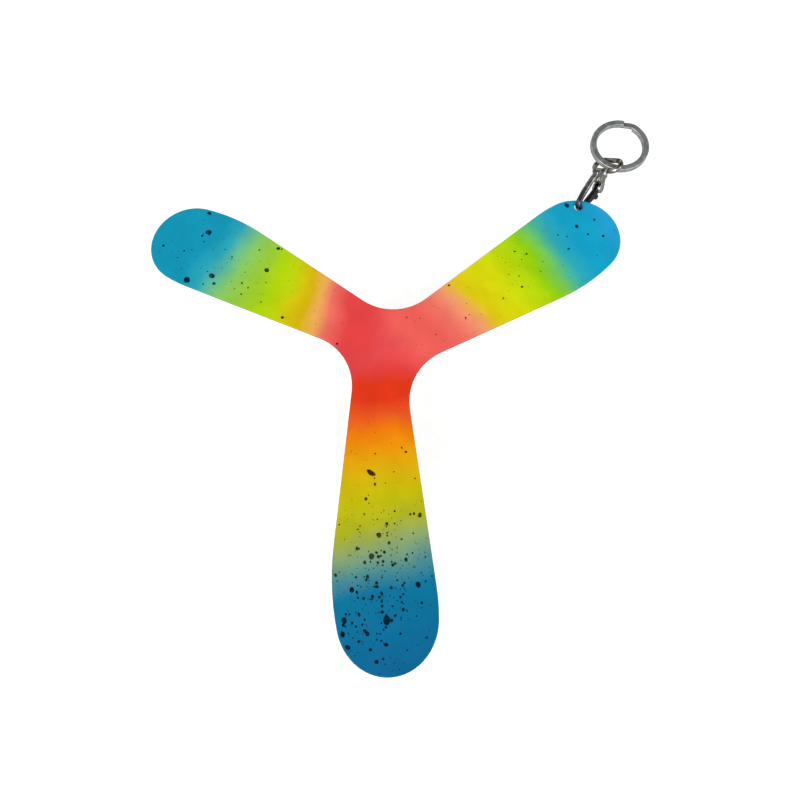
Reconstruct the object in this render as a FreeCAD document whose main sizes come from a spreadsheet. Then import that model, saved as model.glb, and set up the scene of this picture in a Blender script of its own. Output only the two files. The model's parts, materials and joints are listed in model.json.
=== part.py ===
"""Pocket boomerang: a flat three-armed plastic blade with a swivel claw clasp and a split key ring.

The frame is in millimetres with +Z up. The origin is the hub's centre on the blade's underside.
The blade is cut from thin sheet and lies in the XY plane, and the clasp hooks through a hole near
the edge of one arm's round end. Every driving dimension is a cell of the spreadsheet "Sizes".
"""
import FreeCAD, Part
import math
import os

import Sketcher
from FreeCAD import Placement, Rotation, Vector

# Driving dimensions in millimetres and degrees. Each name is a spreadsheet alias.
SIZES = (
    # Blade. "Lead" is the side of an arm that faces counter-clockwise, "trail" faces clockwise.
    ("arm_count", 3),
    ("blade_thickness", 1.0),
    ("arm_reach", 71.4),
    ("tip_radius", 13.15),
    ("lead_shoulder_radius", 41.9),
    ("lead_edge_angle", 7.25),
    ("lead_root_offset", 4.64),
    ("trail_shoulder_radius", 60.0),
    ("trail_edge_angle", 5.93),
    ("trail_root_offset", 8.43),
    ("notch_radius", 16.2),
    ("rim_rounding", 0.35),
    ("hole_along", 77.9),
    ("hole_across", 8.55),
    ("hole_radius", 1.3),
    ("clasp_arm_heading", 30.0),
    # Claw clasp. Its own x runs from the hook to the swivel, its y from the gate to the spine.
    ("claw_heading", 53.0),
    ("claw_rise", 3.0),
    ("claw_lean", 25.0),
    ("hook_radius", 2.0),
    ("arm_width", 1.2),
    ("arm_depth", 1.8),
    ("nose_reach", 1.3),
    ("spine_bow_radius", 32.0),
    ("spine_end_x", 11.2),
    ("spine_end_y", 3.6),
    ("opening_bow_radius", 60.0),
    ("opening_end_x", 10.4),
    ("opening_end_y", 2.4),
    ("nose_rounding", 0.4),
    ("arm_rounding", 0.45),
    ("block_depth", 2.8),
    ("block_top", 3.95),
    ("block_crest_x", 11.6),
    ("block_end_x", 12.8),
    ("block_shoulder", 1.9),
    ("block_rounding", 0.35),
    ("boss_radius", 2.0),
    ("boss_end_x", 13.6),
    ("boss_chamfer", 0.35),
    # Gate, its rivet and its spring.
    ("rivet_x", 9.6),
    ("rivet_y", -3.1),
    ("rivet_radius", 0.5),
    ("rivet_play", 0.05),
    ("cheek_radius", 1.6),
    ("tail_radius", 1.25),
    ("tail_depth", 1.2),
    ("tail_flat", 0.95),
    ("tail_front_x", 5.0),
    ("tail_front_inner_y", -2.2),
    ("tail_front_outer_y", -3.6),
    ("slot_depth", 1.3),
    ("slot_back_x", 11.0),
    ("gate_tip_gap", 0.08),
    ("gate_bow_radius", 13.0),
    ("lever_end_x", 7.7),
    ("lever_inner_y", -2.0),
    ("lever_outer_y", -4.15),
    ("nub_x", 6.9),
    ("nub_y", -4.5),
    ("nub_radius", 1.0),
    ("lever_corner", 0.3),
    ("lever_rounding", 0.4),
    ("spring_offset", 0.45),
    ("spring_seat_radius", 0.55),
    ("spring_seat_length", 1.6),
    ("spring_coil_radius", 0.36),
    ("spring_wire_radius", 0.1),
    ("spring_pitch", 0.42),
    ("spring_gap", 0.03),
    # Swivel eye.
    ("post_radius", 0.85),
    ("post_play", 0.05),
    ("head_radius", 1.3),
    ("head_length", 0.7),
    ("head_chamfer", 0.25),
    ("end_play", 0.1),
    ("collar_radius", 1.6),
    ("collar_length", 0.6),
    ("neck_radius", 1.05),
    ("eye_centre_x", 17.0),
    ("eye_half_depth", 2.4),
    ("eye_half_width", 4.8),
    ("eye_wire_radius", 0.85),
    ("eye_lean", 130.0),
    # Split key ring.
    ("ring_outer_radius", 9.5),
    ("ring_band", 2.0),
    ("ring_layer", 1.0),
    ("ring_layer_gap", 0.06),
    ("ring_corner", 0.3),
    ("ring_heading", 56.0),
    ("ring_rise", 6.0),
    ("ring_jog_heading", 62.0),
    ("ring_jog_angle", 24.0),
)


# ---------------------------------------------------------------- spreadsheet and helpers

def make_sizes(doc):
    """Put every driving dimension in a spreadsheet cell of its own, with its name as alias."""
    sheet = doc.addObject("Spreadsheet::Sheet", "Sizes")
    for row, (alias, value) in enumerate(SIZES, start=1):
        sheet.set(f"A{row}", alias)
        sheet.set(f"B{row}", str(value))
        sheet.setAlias(f"B{row}", alias)
    doc.recompute()
    return sheet


def reader(sheet):
    """Return a function that reads one dimension from the spreadsheet."""
    return lambda alias: float(sheet.get(alias))


def make_body(doc, label):
    body = doc.addObject("PartDesign::Body", label)
    body.Label = label
    return body


def make_sketch(body, name, role="XY_Plane", shift=""):
    """Attach a new sketch to an origin plane of its body, moved along the plane's normal by shift."""
    sketch = body.newObject("Sketcher::SketchObject", name)
    plane = next(f for f in body.Origin.OriginFeatures if f.Role == role)
    sketch.AttachmentSupport = (plane, [""])
    sketch.MapMode = "FlatFace"
    if shift:
        sketch.setExpression("AttachmentOffset.Base.z", shift)
    return sketch


def add_line(sketch, start, end):
    return sketch.addGeometry(Part.LineSegment(Vector(*start, 0), Vector(*end, 0)), False)


def add_arc(sketch, centre, radius, start_angle, end_angle):
    """Add an arc that runs counter-clockwise between two angles in degrees."""
    circle = Part.Circle(Vector(*centre, 0), Vector(0, 0, 1), radius)
    return sketch.addGeometry(
        Part.ArcOfCircle(circle, math.radians(start_angle), math.radians(end_angle)), False
    )


def add_circle(sketch, centre, radius):
    return sketch.addGeometry(Part.Circle(Vector(*centre, 0), Vector(0, 0, 1), radius), False)


# How a sketch constraint names the points of an element, the sketch's origin and its two axes.
START, END, CENTRE = 1, 2, 3
ORIGIN = (-1, 1)
X_AXIS, Y_AXIS = -1, -2

# Lengths closer than this many millimetres count as equal when edges are picked.
NEAR = 1e-4


def join(sketch, *pairs):
    """Make pairs of points coincide. A pair is (element, point, element, point)."""
    for pair in pairs:
        sketch.addConstraint(Sketcher.Constraint("Coincident", *pair))


def blend(sketch, *pairs):
    """Join pairs of end points so that the two elements run on tangentially."""
    for pair in pairs:
        sketch.addConstraint(Sketcher.Constraint("Tangent", *pair))


def level(sketch, kind, *elements):
    """Make lines "Horizontal" or "Vertical"."""
    for element in elements:
        sketch.addConstraint(Sketcher.Constraint(kind, element))


def drive(sketch, kind, where, value, expression):
    """Add a dimension with a start value and bind it to the spreadsheet."""
    index = sketch.addConstraint(Sketcher.Constraint(kind, *where, value))
    sketch.setExpression(f"Constraints[{index}]", expression)


def locate(sketch, element, point, position, expressions):
    """Fix a point by its signed distances from the origin along x and y."""
    for kind, value, expression in zip(("DistanceX", "DistanceY"), position, expressions):
        if expression:
            drive(sketch, kind, (*ORIGIN, element, point), value, expression)


def pad(body, name, sketch, length, midplane=True):
    feature = body.newObject("PartDesign::Pad", name)
    feature.Profile = sketch
    feature.setExpression("Length", length)
    feature.Midplane = midplane
    return feature


def pocket(body, name, sketch, length="", midplane=False, reverse=False):
    """Cut a sketch out of its body, through everything unless a length is given."""
    feature = body.newObject("PartDesign::Pocket", name)
    feature.Profile = sketch
    feature.Type = "Length" if length else "ThroughAll"
    if length:
        feature.setExpression("Length", length)
    feature.Midplane = midplane
    feature.Reversed = reverse
    return feature


def round_edges(body, name, radius, wanted):
    """Fillet the edges of the body's last feature for which wanted(edge) is true."""
    body.Document.recompute()
    base = body.Tip
    names = [f"Edge{i}" for i, edge in enumerate(base.Shape.Edges, start=1) if wanted(edge)]
    feature = body.newObject("PartDesign::Fillet", name)
    feature.Base = (base, names)
    feature.setExpression("Radius", radius)
    return feature


def flat(edge):
    """True if the edge lies in a plane of constant z."""
    return edge.BoundBox.ZLength < NEAR


def upright(edge):
    """True if the edge is a straight line along z."""
    return not flat(edge) and edge.BoundBox.DiagonalLength - edge.BoundBox.ZLength < NEAR


def at_height(edge, height):
    """True if the edge lies flat at the given distance above or below z = 0."""
    return flat(edge) and abs(abs(edge.CenterOfMass.z) - height) < NEAR


# ---------------------------------------------------------------- blade

def shoulder_turn(root_offset, edge_angle, reach, tip_radius, shoulder_radius):
    """Angle in degrees over which a shoulder arc bends in before it meets the round tip.

    The straight edge starts root_offset from the arm's centre line at the hub. The shoulder arc
    touches that edge and holds the tip's circle on its inside.
    """
    slope = math.radians(edge_angle)
    gap = shoulder_radius - root_offset * math.cos(slope) - reach * math.sin(slope)
    return math.degrees(math.acos(gap / (shoulder_radius - tip_radius)) - slope)


def draw_arm(sketch, size):
    """Draw one arm along +X: straight tapering edges, two shoulder arcs and a round tip."""
    reach = size("arm_reach")
    tip = size("tip_radius")
    shoulders = {}
    for side, sign in (("lead", 1), ("trail", -1)):
        radius = size(f"{side}_shoulder_radius")
        slope = size(f"{side}_edge_angle")
        root = size(f"{side}_root_offset")
        turn = shoulder_turn(root, slope, reach, tip, radius)
        offset = radius - tip
        centre = Vector(
            reach - offset * math.sin(math.radians(turn)),
            -sign * offset * math.cos(math.radians(turn)),
        )
        lean = math.radians(slope)
        edge_end = centre + Vector(-math.sin(lean), sign * math.cos(lean)) * radius
        shoulders[side] = (radius, slope, root, turn, centre, edge_end)

    lead_radius, lead_slope, lead_root, lead_turn, lead_centre, lead_end = shoulders["lead"]
    trail_radius, trail_slope, trail_root, trail_turn, trail_centre, trail_end = shoulders["trail"]
    trail_edge = add_line(sketch, (0, -trail_root), trail_end[:2])
    trail_shoulder = add_arc(
        sketch, trail_centre[:2], trail_radius, -90 - trail_slope, -90 + trail_turn
    )
    round_tip = add_arc(sketch, (reach, 0), tip, -90 + trail_turn, 90 - lead_turn)
    lead_shoulder = add_arc(sketch, lead_centre[:2], lead_radius, 90 - lead_turn, 90 + lead_slope)
    lead_edge = add_line(sketch, lead_end[:2], (0, lead_root))
    root_line = add_line(sketch, (0, lead_root), (0, -trail_root))

    blend(
        sketch,
        (trail_edge, END, trail_shoulder, START),
        (trail_shoulder, END, round_tip, START),
        (round_tip, END, lead_shoulder, START),
        (lead_shoulder, END, lead_edge, START),
    )
    join(sketch, (lead_edge, END, root_line, START), (root_line, END, trail_edge, START))
    for point in (START, END):
        sketch.addConstraint(Sketcher.Constraint("PointOnObject", root_line, point, Y_AXIS))
    sketch.addConstraint(Sketcher.Constraint("PointOnObject", round_tip, CENTRE, X_AXIS))
    drive(sketch, "DistanceX", (*ORIGIN, round_tip, CENTRE), reach, "Sizes.arm_reach")
    drive(sketch, "Radius", (round_tip,), tip, "Sizes.tip_radius")
    drive(sketch, "Radius", (lead_shoulder,), lead_radius, "Sizes.lead_shoulder_radius")
    drive(sketch, "Radius", (trail_shoulder,), trail_radius, "Sizes.trail_shoulder_radius")
    drive(sketch, "Angle", (lead_edge,), math.radians(lead_slope - 180), "Sizes.lead_edge_angle - 180")
    drive(sketch, "Angle", (trail_edge,), math.radians(-trail_slope), "-Sizes.trail_edge_angle")
    drive(sketch, "DistanceY", (*ORIGIN, root_line, START), lead_root, "Sizes.lead_root_offset")
    drive(sketch, "DistanceY", (root_line, END, *ORIGIN), trail_root, "Sizes.trail_root_offset")


def make_blade(doc, size):
    """One arm of sheet, repeated round the hub, with rounded notches, a rounded rim and a hole."""
    body = make_body(doc, "blade")
    arm_sketch = make_sketch(body, "arm_outline")
    draw_arm(arm_sketch, size)
    arm = pad(body, "arm", arm_sketch, "Sizes.blade_thickness", midplane=False)
    doc.recompute()

    arms = body.newObject("PartDesign::PolarPattern", "arms")
    arms.Originals = [arm]
    arms.Axis = (arm_sketch, ["N_Axis"])
    arms.Angle = 360
    arms.setExpression("Occurrences", "Sizes.arm_count")
    body.Tip = arms

    hub_reach = size("trail_root_offset") + size("lead_root_offset")
    round_edges(
        body, "notches", "Sizes.notch_radius",
        lambda e: upright(e) and math.hypot(e.CenterOfMass.x, e.CenterOfMass.y) < hub_reach,
    )

    hole_sketch = make_sketch(body, "clasp_hole_outline")
    position = (size("hole_along"), size("hole_across"))
    hole = add_circle(hole_sketch, position, size("hole_radius"))
    locate(hole_sketch, hole, CENTRE, position, ("Sizes.hole_along", "Sizes.hole_across"))
    drive(hole_sketch, "Radius", (hole,), size("hole_radius"), "Sizes.hole_radius")
    pocket(body, "clasp_hole", hole_sketch, reverse=True)

    round_edges(body, "rim", "Sizes.rim_rounding", flat)
    body.Placement = Placement(Vector(), Rotation(size("clasp_arm_heading"), 0, 0))
    return body


# ---------------------------------------------------------------- clasp frames

def clasp_origin(size):
    """Centre of the hook's bend, in the bridge of sheet between the hole and the blade's edge."""
    arm = Rotation(size("clasp_arm_heading"), 0, 0)
    hole = arm.multVec(Vector(size("hole_along"), size("hole_across"), 0))
    heading = Rotation(size("claw_heading"), 0, 0).multVec(Vector(size("hook_radius"), 0, 0))
    return hole + heading + Vector(0, 0, size("blade_thickness") / 2)


def clasp_placement(size, lean):
    """Frame at the hook's bend: x along the clasp, y tipped by lean from straight up to the left."""
    turn = Rotation(size("claw_heading"), -size("claw_rise"), 90 - lean)
    return Placement(clasp_origin(size), turn)


# ---------------------------------------------------------------- claw body

def tangent_angle(bow_radius, bend_radius, end):
    """Direction in degrees, seen from the bend's centre, in which a bow arc touches the bend.

    The bow's circle holds the bend's circle on its inside and passes through the point end.
    """
    reach = math.hypot(*end)
    offset = bow_radius - bend_radius
    cosine = (offset**2 + reach**2 - bow_radius**2) / (2 * offset * reach)
    centre_angle = math.atan2(end[1], end[0]) - math.acos(cosine)
    return math.degrees(centre_angle) + 180


def draw_bow(sketch, bow_radius, bend_radius, end):
    """Draw the bow arc from its outer end back to the bend and return it with its touching angle."""
    touch = tangent_angle(bow_radius, bend_radius, end)
    offset = bow_radius - bend_radius
    centre = (-offset * math.cos(math.radians(touch)), -offset * math.sin(math.radians(touch)))
    end_angle = math.degrees(math.atan2(end[1] - centre[1], end[0] - centre[0]))
    return add_arc(sketch, centre, bow_radius, end_angle, touch), touch


def draw_hook(sketch, size):
    """Draw the hook: a half-round bend, a bowed spine above it and a short nose below it."""
    outer = size("hook_radius") + size("arm_width") / 2
    inner = size("hook_radius") - size("arm_width") / 2
    nose = size("nose_reach")
    spine_end = (size("spine_end_x"), size("spine_end_y"))
    opening_end = (size("opening_end_x"), size("opening_end_y"))

    spine, outer_touch = draw_bow(sketch, size("spine_bow_radius"), outer, spine_end)
    outer_bend = add_arc(sketch, (0, 0), outer, outer_touch, 270)
    nose_bottom = add_line(sketch, (0, -outer), (nose, -outer))
    nose_end = add_line(sketch, (nose, -outer), (nose, -inner))
    nose_top = add_line(sketch, (nose, -inner), (0, -inner))
    opening, inner_touch = draw_bow(sketch, size("opening_bow_radius"), inner, opening_end)
    inner_bend = add_arc(sketch, (0, 0), inner, inner_touch, 270)
    root = add_line(sketch, opening_end, spine_end)

    blend(
        sketch,
        (spine, END, outer_bend, START),
        (outer_bend, END, nose_bottom, START),
        (nose_top, END, inner_bend, END),
        (inner_bend, START, opening, END),
    )
    join(
        sketch,
        (nose_bottom, END, nose_end, START),
        (nose_end, END, nose_top, START),
        (opening, START, root, START),
        (root, END, spine, START),
        (outer_bend, CENTRE, *ORIGIN),
        (inner_bend, CENTRE, *ORIGIN),
    )
    level(sketch, "Horizontal", nose_bottom, nose_top)
    level(sketch, "Vertical", nose_end)
    drive(sketch, "Radius", (spine,), size("spine_bow_radius"), "Sizes.spine_bow_radius")
    drive(sketch, "Radius", (opening,), size("opening_bow_radius"), "Sizes.opening_bow_radius")
    drive(sketch, "Radius", (outer_bend,), outer, "Sizes.hook_radius + Sizes.arm_width / 2")
    drive(sketch, "Radius", (inner_bend,), inner, "Sizes.hook_radius - Sizes.arm_width / 2")
    drive(sketch, "DistanceX", (*ORIGIN, nose_bottom, END), nose, "Sizes.nose_reach")
    locate(sketch, spine, START, spine_end, ("Sizes.spine_end_x", "Sizes.spine_end_y"))
    locate(sketch, opening, START, opening_end, ("Sizes.opening_end_x", "Sizes.opening_end_y"))


def draw_block(sketch, size):
    """Draw the block that carries the swivel, with the rounded cheeks for the gate's rivet."""
    wall = size("opening_end_x")
    top = size("block_top")
    crest = size("block_crest_x")
    back = size("block_end_x")
    shoulder = size("block_shoulder")
    rivet = (size("rivet_x"), size("rivet_y"))
    cheek = size("cheek_radius")
    corner = Vector(back - rivet[0], -shoulder - rivet[1])
    touch = math.atan2(corner.y, corner.x) - math.acos(cheek / corner.Length)
    touch_point = (rivet[0] + cheek * math.cos(touch), rivet[1] + cheek * math.sin(touch))

    upper = add_line(sketch, (wall, top), (crest, top))
    slope = add_line(sketch, (crest, top), (back, shoulder))
    rear = add_line(sketch, (back, shoulder), (back, -shoulder))
    lower = add_line(sketch, (back, -shoulder), touch_point)
    cheeks = add_arc(sketch, rivet, cheek, 90, math.degrees(touch) + 360)
    ledge = add_line(sketch, (rivet[0], rivet[1] + cheek), (wall, rivet[1] + cheek))
    front = add_line(sketch, (wall, rivet[1] + cheek), (wall, top))

    blend(sketch, (lower, END, cheeks, END), (cheeks, START, ledge, START))
    join(
        sketch,
        (upper, END, slope, START),
        (slope, END, rear, START),
        (rear, END, lower, START),
        (ledge, END, front, START),
        (front, END, upper, START),
    )
    level(sketch, "Horizontal", upper, ledge)
    level(sketch, "Vertical", rear, front)
    locate(sketch, upper, START, (wall, top), ("Sizes.opening_end_x", "Sizes.block_top"))
    drive(sketch, "DistanceX", (*ORIGIN, slope, START), crest, "Sizes.block_crest_x")
    locate(sketch, rear, START, (back, shoulder), ("Sizes.block_end_x", "Sizes.block_shoulder"))
    drive(sketch, "DistanceY", (rear, END, *ORIGIN), shoulder, "Sizes.block_shoulder")
    locate(sketch, cheeks, CENTRE, rivet, ("Sizes.rivet_x", "Sizes.rivet_y"))
    drive(sketch, "Radius", (cheeks,), cheek, "Sizes.cheek_radius")


def draw_polygon(sketch, corners, expressions):
    """Draw a closed polygon and fix each corner by the expressions for its x and y."""
    count = len(corners)
    sides = [add_line(sketch, corners[i], corners[(i + 1) % count]) for i in range(count)]
    join(sketch, *((sides[i], END, sides[(i + 1) % count], START) for i in range(count)))
    for side, corner, pair in zip(sides, corners, expressions):
        for axis, (value, expression) in enumerate(zip(corner, pair)):
            if not expression:
                constraint = Sketcher.Constraint("PointOnObject", side, START, (Y_AXIS, X_AXIS)[axis])
                sketch.addConstraint(constraint)
            else:
                kind = ("DistanceX", "DistanceY")[axis]
                drive(sketch, kind, (*ORIGIN, side, START), value, expression)


def make_claw(doc, size):
    """Cast claw: hook, spine and nose, a thicker rear block, a fork for the gate and a swivel bore."""
    body = make_body(doc, "claw_body")
    hook_sketch = make_sketch(body, "hook_outline")
    draw_hook(hook_sketch, size)
    pad(body, "hook", hook_sketch, "Sizes.arm_depth")
    nose = size("nose_reach")
    round_edges(
        body, "nose_rounding", "Sizes.nose_rounding",
        lambda e: upright(e) and abs(e.CenterOfMass.x - nose) < NEAR,
    )
    round_edges(
        body, "hook_rounding", "Sizes.arm_rounding",
        lambda e: at_height(e, size("arm_depth") / 2) and e.CenterOfMass.x < size("opening_end_x"),
    )

    block_sketch = make_sketch(body, "block_outline")
    draw_block(block_sketch, size)
    pad(body, "block", block_sketch, "Sizes.block_depth")
    round_edges(
        body, "block_rounding", "Sizes.block_rounding",
        lambda e: at_height(e, size("block_depth") / 2),
    )

    boss_sketch = make_sketch(body, "boss_profile")
    start = size("opening_end_x") + size("end_play")
    end = size("boss_end_x")
    radius = size("boss_radius")
    cut = size("boss_chamfer")
    draw_polygon(
        boss_sketch,
        ((start, 0), (end, 0), (end, radius - cut), (end - cut, radius), (start + radius, radius)),
        (
            ("Sizes.opening_end_x + Sizes.end_play", ""),
            ("Sizes.boss_end_x", ""),
            ("Sizes.boss_end_x", "Sizes.boss_radius - Sizes.boss_chamfer"),
            ("Sizes.boss_end_x - Sizes.boss_chamfer", "Sizes.boss_radius"),
            ("Sizes.opening_end_x + Sizes.end_play + Sizes.boss_radius", "Sizes.boss_radius"),
        ),
    )
    boss = body.newObject("PartDesign::Revolution", "boss")
    boss.Profile = boss_sketch
    boss.ReferenceAxis = (boss_sketch, ["H_Axis"])
    boss.Angle = 360

    cut_fork(body, size)
    cut_bores(body, size)
    body.Placement = clasp_placement(size, size("claw_lean"))
    return body


def cut_fork(body, size):
    """Cut the slot between the two cheeks, in which the gate's tail turns."""
    sketch = make_sketch(body, "fork_slot_outline")
    front = size("rivet_x") - size("cheek_radius") * 2
    back = size("slot_back_x")
    bottom = size("rivet_y") - size("cheek_radius") * 2
    top = size("rivet_y") + size("cheek_radius")
    xs = ("Sizes.rivet_x - Sizes.cheek_radius * 2", "Sizes.slot_back_x")
    ys = ("Sizes.rivet_y - Sizes.cheek_radius * 2", "Sizes.rivet_y + Sizes.cheek_radius")
    draw_polygon(
        sketch,
        ((front, bottom), (back, bottom), (back, top), (front, top)),
        ((xs[0], ys[0]), (xs[1], ys[0]), (xs[1], ys[1]), (xs[0], ys[1])),
    )
    pocket(body, "fork_slot", sketch, "Sizes.slot_depth", midplane=True)


def cut_bores(body, size):
    """Bore the holes for the gate's rivet, the swivel's post and the gate's spring."""
    rivet_sketch = make_sketch(body, "rivet_hole_outline")
    rivet = (size("rivet_x"), size("rivet_y"))
    circle = add_circle(rivet_sketch, rivet, size("rivet_radius"))
    locate(rivet_sketch, circle, CENTRE, rivet, ("Sizes.rivet_x", "Sizes.rivet_y"))
    drive(rivet_sketch, "Radius", (circle,), size("rivet_radius"), "Sizes.rivet_radius")
    pocket(body, "rivet_hole", rivet_sketch, midplane=True)

    post_sketch = make_sketch(body, "post_bore_outline", "YZ_Plane")
    radius = size("post_radius") + size("post_play")
    circle = add_circle(post_sketch, (0, 0), radius)
    join(post_sketch, (circle, CENTRE, *ORIGIN))
    drive(post_sketch, "Radius", (circle,), radius, "Sizes.post_radius + Sizes.post_play")
    pocket(body, "post_bore", post_sketch, reverse=True)

    seat_sketch = make_sketch(body, "spring_seat_outline", "YZ_Plane", "Sizes.slot_back_x")
    position = (size("rivet_y") + size("spring_offset"), 0)
    circle = add_circle(seat_sketch, position, size("spring_seat_radius"))
    seat_sketch.addConstraint(Sketcher.Constraint("PointOnObject", circle, CENTRE, X_AXIS))
    locate(seat_sketch, circle, CENTRE, position, ("Sizes.rivet_y + Sizes.spring_offset", ""))
    drive(seat_sketch, "Radius", (circle,), size("spring_seat_radius"), "Sizes.spring_seat_radius")
    pocket(body, "spring_seat", seat_sketch, "Sizes.spring_seat_length", reverse=True)


# ---------------------------------------------------------------- gate, rivet and spring

def draw_tail(sketch, size):
    """Draw the gate's thin tail: round the rivet, with a flat heel, and tapering into the lever."""
    rivet = Vector(size("rivet_x"), size("rivet_y"))
    radius = size("tail_radius")
    inner = Vector(size("tail_front_x"), size("tail_front_inner_y"))
    outer = Vector(size("tail_front_x"), size("tail_front_outer_y"))
    heel_distance = size("tail_flat")
    flat_angle = math.degrees(math.acos(heel_distance / radius))

    def touch(point, side):
        """Direction from the rivet to where a tangent from point touches the tail."""
        ray = point - rivet
        return math.degrees(math.atan2(ray.y, ray.x) - side * math.acos(radius / ray.Length))

    upper_touch = touch(inner, 1) % 360
    lower_touch = touch(outer, -1) % 360 - 360

    def on_tail(angle):
        offset = Vector(math.cos(math.radians(angle)), math.sin(math.radians(angle))) * radius
        return (rivet + offset)[:2]

    lower_arc = add_arc(sketch, rivet[:2], radius, lower_touch, -flat_angle)
    heel = add_line(sketch, on_tail(-flat_angle), on_tail(flat_angle))
    upper_arc = add_arc(sketch, rivet[:2], radius, flat_angle, upper_touch)
    inner_edge = add_line(sketch, on_tail(upper_touch), inner[:2])
    front = add_line(sketch, inner[:2], outer[:2])
    outer_edge = add_line(sketch, outer[:2], on_tail(lower_touch))

    blend(sketch, (upper_arc, END, inner_edge, START), (outer_edge, END, lower_arc, START))
    join(
        sketch,
        (lower_arc, END, heel, START),
        (heel, END, upper_arc, START),
        (inner_edge, END, front, START),
        (front, END, outer_edge, START),
        (upper_arc, CENTRE, lower_arc, CENTRE),
    )
    level(sketch, "Vertical", heel, front)
    sketch.addConstraint(Sketcher.Constraint("Equal", lower_arc, upper_arc))
    locate(sketch, lower_arc, CENTRE, rivet[:2], ("Sizes.rivet_x", "Sizes.rivet_y"))
    drive(sketch, "Radius", (lower_arc,), radius, "Sizes.tail_radius")
    drive(
        sketch, "DistanceX", (lower_arc, CENTRE, heel, START), heel_distance, "Sizes.tail_flat"
    )
    locate(
        sketch, front, START, inner[:2], ("Sizes.tail_front_x", "Sizes.tail_front_inner_y")
    )
    locate(sketch, front, END, outer[:2], ("", "Sizes.tail_front_outer_y"))


def draw_lever(sketch, size):
    """Draw the gate's thick outer part, bowed outwards between the tip and the fork."""
    tip_x = size("nose_reach") + size("gate_tip_gap")
    half = size("arm_width") / 2
    inner = (tip_x, half - size("hook_radius"))
    outer = (tip_x, -half - size("hook_radius"))
    rear_outer = (size("lever_end_x"), size("lever_outer_y"))
    rear_inner = (size("lever_end_x"), size("lever_inner_y"))
    radius = size("gate_bow_radius")
    chord = Vector(rear_outer[0] - outer[0], rear_outer[1] - outer[1])
    rise = math.sqrt(radius**2 - (chord.Length / 2) ** 2)
    normal = Vector(-chord.y, chord.x) / chord.Length
    centre = Vector(*outer) + chord / 2 + normal * rise

    def angle_of(point):
        return math.degrees(math.atan2(point[1] - centre.y, point[0] - centre.x))

    bow = add_arc(sketch, centre[:2], radius, angle_of(outer), angle_of(rear_outer))
    rear = add_line(sketch, rear_outer, rear_inner)
    inside = add_line(sketch, rear_inner, inner)
    tip = add_line(sketch, inner, outer)
    join(
        sketch,
        (bow, END, rear, START),
        (rear, END, inside, START),
        (inside, END, tip, START),
        (tip, END, bow, START),
    )
    level(sketch, "Vertical", rear, tip)
    locate(sketch, rear, START, rear_outer, ("Sizes.lever_end_x", "Sizes.lever_outer_y"))
    locate(sketch, rear, END, rear_inner, ("", "Sizes.lever_inner_y"))
    locate(
        sketch, tip, START, inner,
        ("Sizes.nose_reach + Sizes.gate_tip_gap", "Sizes.arm_width / 2 - Sizes.hook_radius"),
    )
    locate(sketch, tip, END, outer, ("", "-Sizes.arm_width / 2 - Sizes.hook_radius"))
    drive(sketch, "Radius", (bow,), radius, "Sizes.gate_bow_radius")


def make_gate(doc, size):
    """Sprung gate: a thin tail in the fork, a thicker lever that closes the hook, a thumb nub."""
    body = make_body(doc, "gate_lever")
    lever_sketch = make_sketch(body, "lever_outline")
    draw_lever(lever_sketch, size)
    pad(body, "lever", lever_sketch, "Sizes.arm_depth")

    nub_sketch = make_sketch(body, "nub_outline")
    position = (size("nub_x"), size("nub_y"))
    nub = add_circle(nub_sketch, position, size("nub_radius"))
    locate(nub_sketch, nub, CENTRE, position, ("Sizes.nub_x", "Sizes.nub_y"))
    drive(nub_sketch, "Radius", (nub,), size("nub_radius"), "Sizes.nub_radius")
    pad(body, "nub", nub_sketch, "Sizes.arm_depth")
    round_edges(body, "lever_corners", "Sizes.lever_corner", upright)
    round_edges(
        body, "lever_rounding", "Sizes.lever_rounding",
        lambda e: at_height(e, size("arm_depth") / 2),
    )

    tail_sketch = make_sketch(body, "tail_outline")
    draw_tail(tail_sketch, size)
    pad(body, "tail", tail_sketch, "Sizes.tail_depth")

    hole_sketch = make_sketch(body, "gate_hole_outline")
    rivet = (size("rivet_x"), size("rivet_y"))
    radius = size("rivet_radius") + size("rivet_play")
    circle = add_circle(hole_sketch, rivet, radius)
    locate(hole_sketch, circle, CENTRE, rivet, ("Sizes.rivet_x", "Sizes.rivet_y"))
    drive(hole_sketch, "Radius", (circle,), radius, "Sizes.rivet_radius + Sizes.rivet_play")
    pocket(body, "gate_hole", hole_sketch, midplane=True)
    body.Placement = clasp_placement(size, size("claw_lean"))
    return body


def make_rivet(doc, size):
    """Plain rivet across the fork, flush with both cheeks."""
    rivet = doc.addObject("Part::Cylinder", "gate_rivet")
    rivet.Label = "gate_rivet"
    rivet.setExpression("Radius", "Sizes.rivet_radius")
    rivet.setExpression("Height", "Sizes.block_depth")
    inside = Placement(
        Vector(size("rivet_x"), size("rivet_y"), -size("block_depth") / 2), Rotation()
    )
    rivet.Placement = clasp_placement(size, size("claw_lean")).multiply(inside)
    return rivet


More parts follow.
